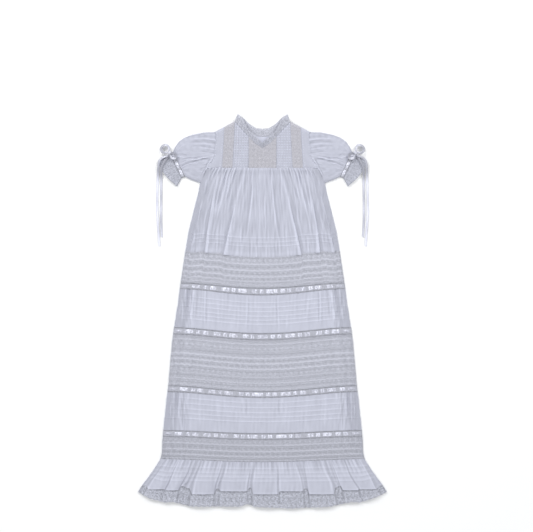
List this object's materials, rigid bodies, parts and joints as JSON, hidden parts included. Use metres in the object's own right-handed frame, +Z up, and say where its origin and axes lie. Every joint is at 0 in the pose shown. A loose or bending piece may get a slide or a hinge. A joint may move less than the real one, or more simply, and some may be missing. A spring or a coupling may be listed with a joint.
{
  "type": "christening gown",
  "caption": "Infant's long white christening gown laid flat, with a laced and tucked yoke, puffed sleeves with bows, tiers of tucks, lace and ribboned beading, and a laced ruffle.",
  "frame": {"origin": "on the surface that the gown lies on, under the middle of its outline, at z = 0", "axes": "+Y from the hem towards the neck, +X towards the wearer's left sleeve, +Z up off the surface, from the gown's back to its front"},
  "size_m": [0.5602, 0.8851, 0.0124],
  "materials": {
    "tier_1": "matt, semi-sheer white cotton lawn, cool in tone",
    "tier_2": "matt, semi-sheer white cotton lawn, cool in tone",
    "tier_3": "matt, semi-sheer white cotton lawn, cool in tone",
    "ruffle": "matt, semi-sheer white cotton lawn, cool in tone",
    "lace_band_1": "matt white cotton lace, slightly greyer than the lawn where the ground shows through",
    "lace_band_2": "matt white cotton lace, slightly greyer than the lawn where the ground shows through",
    "lace_band_3": "matt white cotton lace, slightly greyer than the lawn where the ground shows through",
    "hem_lace": "matt white cotton lace, slightly greyer than the lawn where the ground shows through",
    "beading_1": "matt white cotton lace, slightly greyer than the lawn where the ground shows through",
    "beading_2": "matt white cotton lace, slightly greyer than the lawn where the ground shows through",
    "beading_3": "matt white cotton lace, slightly greyer than the lawn where the ground shows through",
    "beading_4": "matt white cotton lace, slightly greyer than the lawn where the ground shows through",
    "ribbon_1": "soft sheen, white satin ribbon",
    "ribbon_2": "soft sheen, white satin ribbon",
    "ribbon_3": "soft sheen, white satin ribbon",
    "ribbon_4": "soft sheen, white satin ribbon",
    "yoke_side_right": "matt, semi-sheer white cotton lawn, cool in tone",
    "yoke_tucked_right": "matt, semi-sheer white cotton lawn, cool in tone",
    "yoke_back_right": "matt, semi-sheer white cotton lawn, cool in tone",
    "sleeve_right": "matt, semi-sheer white cotton lawn, cool in tone",
    "yoke_lace_right": "matt lace, a little creamier than the lawn",
    "collar_back_right": "matt white cotton lace, slightly greyer than the lawn where the ground shows through",
    "cuff_beading_right": "matt white cotton lace, slightly greyer than the lawn where the ground shows through",
    "cuff_lace_right": "matt white cotton lace, slightly greyer than the lawn where the ground shows through",
    "cuff_ribbon_right": "soft sheen, white satin ribbon",
    "bow_right": "soft sheen, white satin ribbon",
    "bow_knot_right": "soft sheen, white satin ribbon",
    "streamer_outer_right": "soft sheen, white satin ribbon",
    "streamer_inner_right": "soft sheen, white satin ribbon",
    "yoke_side_left": "matt, semi-sheer white cotton lawn, cool in tone",
    "yoke_tucked_left": "matt, semi-sheer white cotton lawn, cool in tone",
    "yoke_back_left": "matt, semi-sheer white cotton lawn, cool in tone",
    "sleeve_left": "matt, semi-sheer white cotton lawn, cool in tone",
    "yoke_lace_left": "matt lace, a little creamier than the lawn",
    "collar_back_left": "matt white cotton lace, slightly greyer than the lawn where the ground shows through",
    "cuff_beading_left": "matt white cotton lace, slightly greyer than the lawn where the ground shows through",
    "cuff_lace_left": "matt white cotton lace, slightly greyer than the lawn where the ground shows through",
    "cuff_ribbon_left": "soft sheen, white satin ribbon",
    "bow_left": "soft sheen, white satin ribbon",
    "bow_knot_left": "soft sheen, white satin ribbon",
    "streamer_outer_left": "soft sheen, white satin ribbon",
    "streamer_inner_left": "soft sheen, white satin ribbon",
    "yoke_lace_centre": "matt lace, a little creamier than the lawn",
    "collar_front": "matt white cotton lace, slightly greyer than the lawn where the ground shows through",
    "button_1": "smooth pearly white",
    "button_2": "smooth pearly white",
    "button_3": "smooth pearly white"
  },
  "bodies": {
    "root": {"tier_1": "tier_1", "tier_2": "tier_2", "tier_3": "tier_3", "ruffle": "ruffle", "lace_band_1": "lace_band_1", "lace_band_2": "lace_band_2", "lace_band_3": "lace_band_3", "hem_lace": "hem_lace", "beading_1": "beading_1", "beading_2": "beading_2", "beading_3": "beading_3", "beading_4": "beading_4", "ribbon_1": "ribbon_1", "ribbon_2": "ribbon_2", "ribbon_3": "ribbon_3", "ribbon_4": "ribbon_4", "yoke_side_right": "yoke_side_right", "yoke_tucked_right": "yoke_tucked_right", "yoke_back_right": "yoke_back_right", "sleeve_right": "sleeve_right", "yoke_lace_right": "yoke_lace_right", "collar_back_right": "collar_back_right", "cuff_beading_right": "cuff_beading_right", "cuff_lace_right": "cuff_lace_right", "cuff_ribbon_right": "cuff_ribbon_right", "bow_right": "bow_right", "bow_knot_right": "bow_knot_right", "streamer_outer_right": "streamer_outer_right", "streamer_inner_right": "streamer_inner_right", "yoke_side_left": "yoke_side_left", "yoke_tucked_left": "yoke_tucked_left", "yoke_back_left": "yoke_back_left", "sleeve_left": "sleeve_left", "yoke_lace_left": "yoke_lace_left", "collar_back_left": "collar_back_left", "cuff_beading_left": "cuff_beading_left", "cuff_lace_left": "cuff_lace_left", "cuff_ribbon_left": "cuff_ribbon_left", "bow_left": "bow_left", "bow_knot_left": "bow_knot_left", "streamer_outer_left": "streamer_outer_left", "streamer_inner_left": "streamer_inner_left", "yoke_lace_centre": "yoke_lace_centre", "collar_front": "collar_front", "button_1": "button_1", "button_2": "button_2", "button_3": "button_3"}
  },
  "joints": []
}
